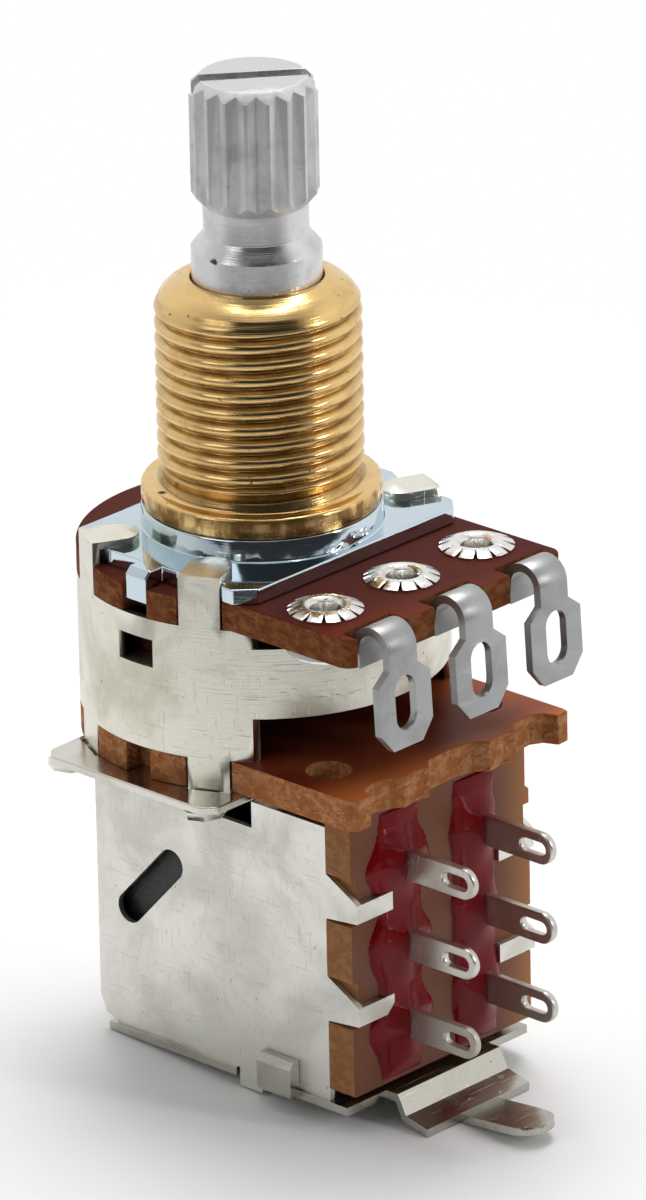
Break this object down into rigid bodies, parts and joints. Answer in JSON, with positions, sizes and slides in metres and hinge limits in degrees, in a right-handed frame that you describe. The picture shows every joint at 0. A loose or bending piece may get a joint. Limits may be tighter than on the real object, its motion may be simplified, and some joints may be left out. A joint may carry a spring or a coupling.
{
  "type": "rotary potentiometer",
  "caption": "Push-pull rotary potentiometer with a knurled shaft, threaded brass bushing, three solder terminals and a slide switch with six lugs.",
  "frame": {"origin": "on the shaft axis, at the upper face of the bushing's flange, where the panel seats", "axes": "+Z along the shaft to its free end; -Y toward the solder terminals; +X to the right, seen from the terminals' side"},
  "size_m": [0.0194, 0.0258, 0.0476],
  "materials": {
    "shaft": "satin, with bright bevels",
    "spring_steel": "bright",
    "bushing": "turned brass, bright crests",
    "front_plate": "bright zinc with a blue tint",
    "upper_board": "dark red coated phenolic with brown edges",
    "carbon": "printed carbon",
    "silver_print": "printed silver",
    "terminal": "matte tin",
    "eyelet": "bright tin",
    "black_plastic": "moulded",
    "contact": "spring bronze",
    "shell": "tin plate with fine scratches",
    "lower_board": "bare phenolic with a snapped edge",
    "sheet": "tin plate",
    "case": "tin plate with light scratches",
    "terminal_board": "bare phenolic",
    "lug": "tinned",
    "sealant": "glossy red resin"
  },
  "bodies": {
    "housing": {"bushing": "bushing", "front_plate": "front_plate", "element_board": "upper_board", "resistive_track": "carbon", "collector_ring": "silver_print", "terminal_left": "terminal", "terminal_centre": "terminal", "terminal_right": "terminal", "eyelet_left": "eyelet", "eyelet_centre": "eyelet", "eyelet_right": "eyelet", "shell": "shell", "base_board": "lower_board", "support_plate": "sheet", "switch_case": "case", "terminal_board": "terminal_board", "lug_top_left": "lug", "lug_mid_left": "lug", "lug_low_left": "lug", "lug_top_right": "lug", "lug_mid_right": "lug", "lug_low_right": "lug", "sealant_left": "sealant", "sealant_right": "sealant", "bottom_cover": "sheet"},
    "slider_body": {"slider": "black_plastic", "contact_clip_left": "contact", "contact_clip_right": "contact", "detent_ball": "spring_steel", "detent_spring": "spring_steel"},
    "shaft_body": {"shaft": "shaft", "shaft_clip": "spring_steel"},
    "rotor_body": {"rotor": "black_plastic", "wiper": "contact"}
  },
  "joints": [
    {"name": "pull", "type": "slide", "parent": "housing", "child": "slider_body", "axis": [0, 0, 1], "range_m": [0, 0.0035]},
    {"name": "shaft_turn", "type": "hinge", "parent": "slider_body", "child": "shaft_body", "pos_m": [0, 0, 0], "axis": [0, 0, 1], "range_deg": [-150, 150]},
    {"name": "rotor_turn", "type": "hinge", "parent": "housing", "child": "rotor_body", "pos_m": [0, 0, -0.006], "axis": [0, 0, 1], "range_deg": [-150, 150]}
  ],
  "couplings": [
    {"joint": "rotor_turn", "follows": "shaft_turn", "ratio": 1}
  ]
}
